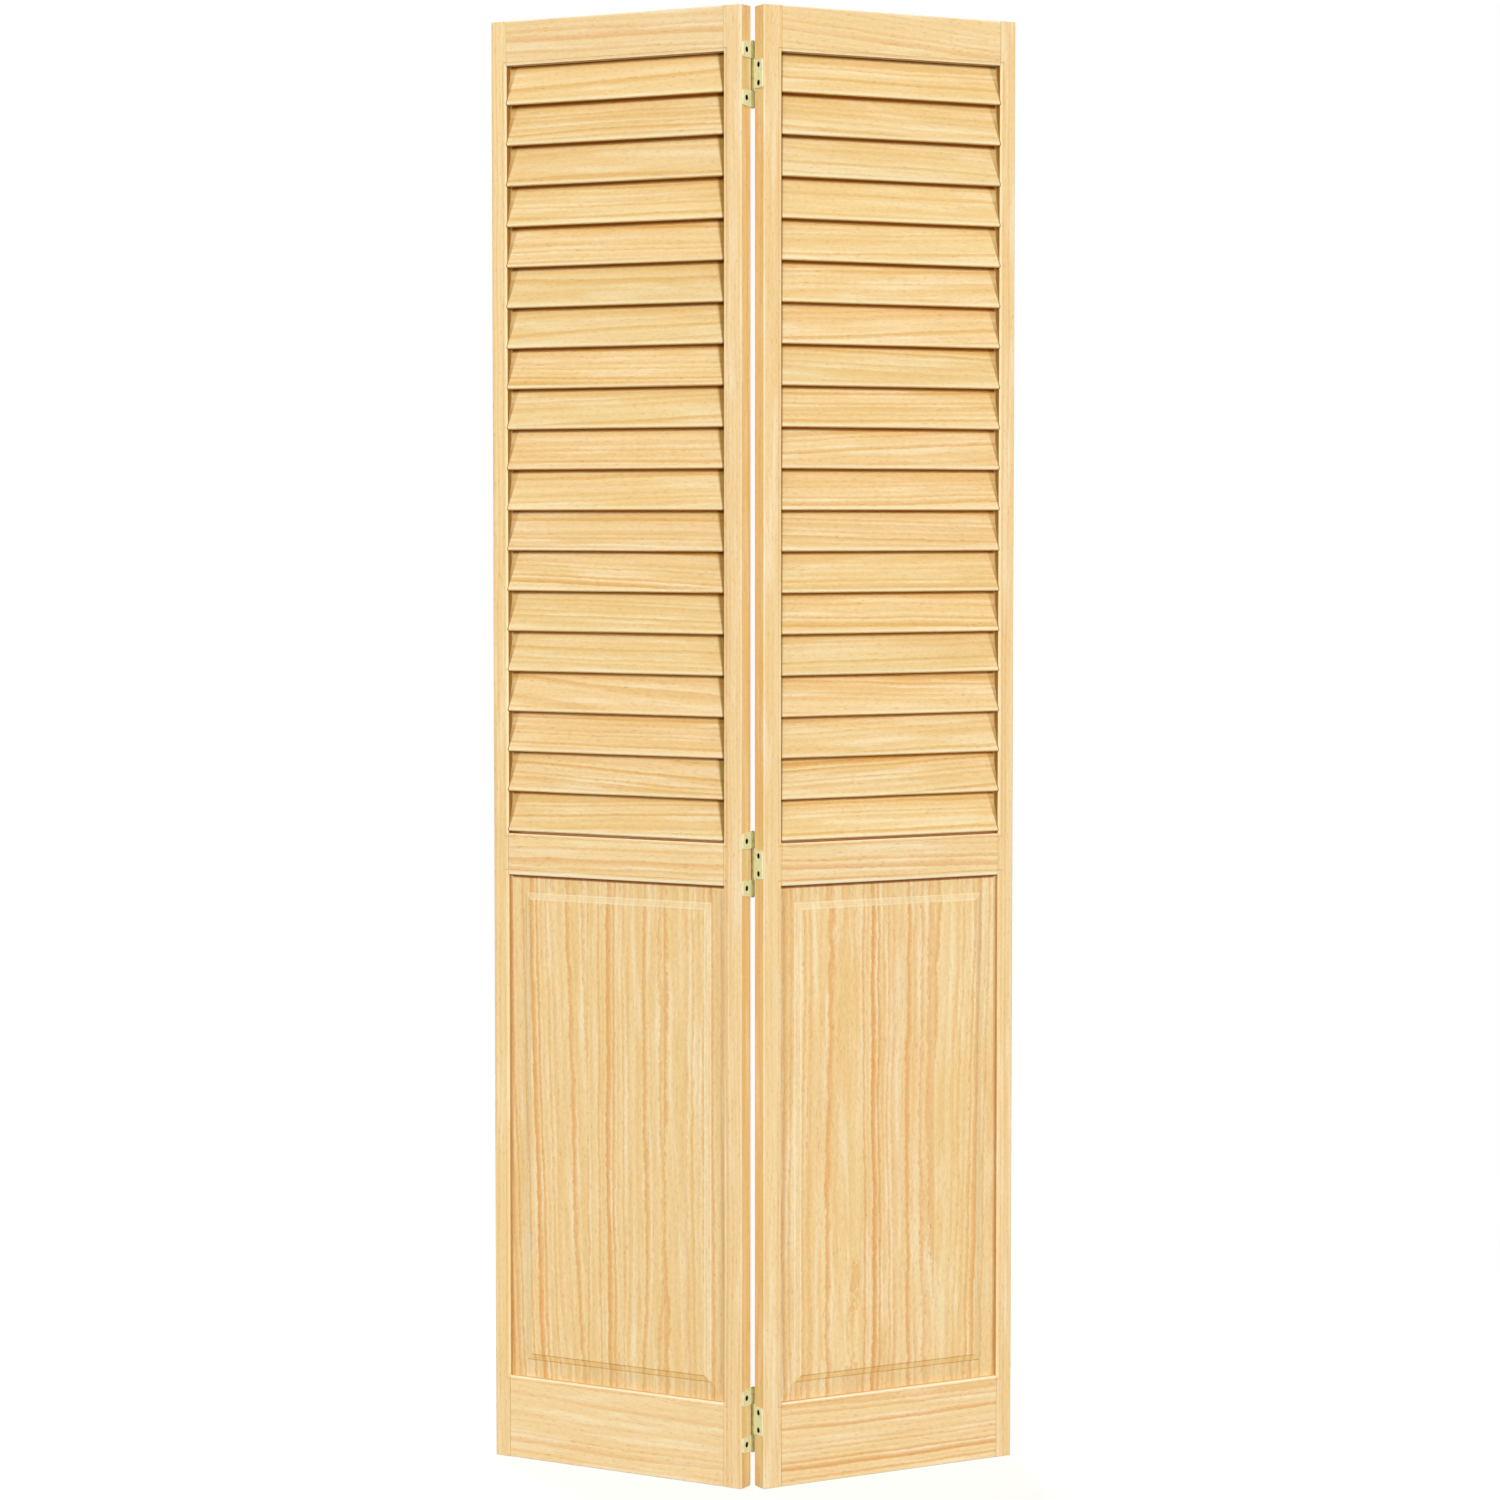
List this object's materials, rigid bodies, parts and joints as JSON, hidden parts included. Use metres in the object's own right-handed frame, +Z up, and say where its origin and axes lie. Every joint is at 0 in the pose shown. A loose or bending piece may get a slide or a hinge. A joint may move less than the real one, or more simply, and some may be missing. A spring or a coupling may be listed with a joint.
{
  "type": "bifold closet door",
  "caption": "Two-leaf folding closet door in clear softwood: fixed louvers above a raised panel in each leaf, leaves joined by brass non-mortise hinges.",
  "frame": {"origin": "centre of the folded door's outline on the floor it stands on", "axes": "+Z up along the stiles; the folded middle edge points to -Y, the room side; +X runs from the left leaf to the right leaf seen from the room"},
  "size_m": [0.7258, 0.2142, 2.0066],
  "materials": {
    "stile_wood": "bare sanded clear pine, upright grain",
    "rail_wood": "bare sanded clear pine, level grain",
    "slat_wood": "bare sanded clear pine, level grain",
    "panel_wood": "bare sanded clear pine, upright grain",
    "plate_brass": "pale brass plating on steel, satin",
    "pin_brass": "dull brass plating on steel"
  },
  "bodies": {
    "left_leaf": {"left_hinge_stile": "stile_wood", "left_outer_stile": "stile_wood", "left_top_rail": "rail_wood", "left_mid_rail": "rail_wood", "left_bottom_rail": "rail_wood", "left_panel": "panel_wood", "left_slat_01": "slat_wood", "left_slat_02": "slat_wood", "left_slat_03": "slat_wood", "left_slat_04": "slat_wood", "left_slat_05": "slat_wood", "left_slat_06": "slat_wood", "left_slat_07": "slat_wood", "left_slat_08": "slat_wood", "left_slat_09": "slat_wood", "left_slat_10": "slat_wood", "left_slat_11": "slat_wood", "left_slat_12": "slat_wood", "left_slat_13": "slat_wood", "left_slat_14": "slat_wood", "left_slat_15": "slat_wood", "left_slat_16": "slat_wood", "left_slat_17": "slat_wood", "left_slat_18": "slat_wood", "left_slat_19": "slat_wood", "top_hinge_outer_plate": "plate_brass", "top_hinge_pin": "pin_brass", "middle_hinge_outer_plate": "plate_brass", "middle_hinge_pin": "pin_brass", "bottom_hinge_outer_plate": "plate_brass", "bottom_hinge_pin": "pin_brass"},
    "right_leaf": {"right_hinge_stile": "stile_wood", "right_outer_stile": "stile_wood", "right_top_rail": "rail_wood", "right_mid_rail": "rail_wood", "right_bottom_rail": "rail_wood", "right_panel": "panel_wood", "right_slat_01": "slat_wood", "right_slat_02": "slat_wood", "right_slat_03": "slat_wood", "right_slat_04": "slat_wood", "right_slat_05": "slat_wood", "right_slat_06": "slat_wood", "right_slat_07": "slat_wood", "right_slat_08": "slat_wood", "right_slat_09": "slat_wood", "right_slat_10": "slat_wood", "right_slat_11": "slat_wood", "right_slat_12": "slat_wood", "right_slat_13": "slat_wood", "right_slat_14": "slat_wood", "right_slat_15": "slat_wood", "right_slat_16": "slat_wood", "right_slat_17": "slat_wood", "right_slat_18": "slat_wood", "right_slat_19": "slat_wood", "top_hinge_inner_plate": "plate_brass", "middle_hinge_inner_plate": "plate_brass", "bottom_hinge_inner_plate": "plate_brass"}
  },
  "joints": [
    {"name": "fold", "type": "hinge", "parent": "left_leaf", "child": "right_leaf", "pos_m": [0, -0.08401, 1.0033], "axis": [0, 0, 1], "range_deg": [-58, 122]}
  ]
}
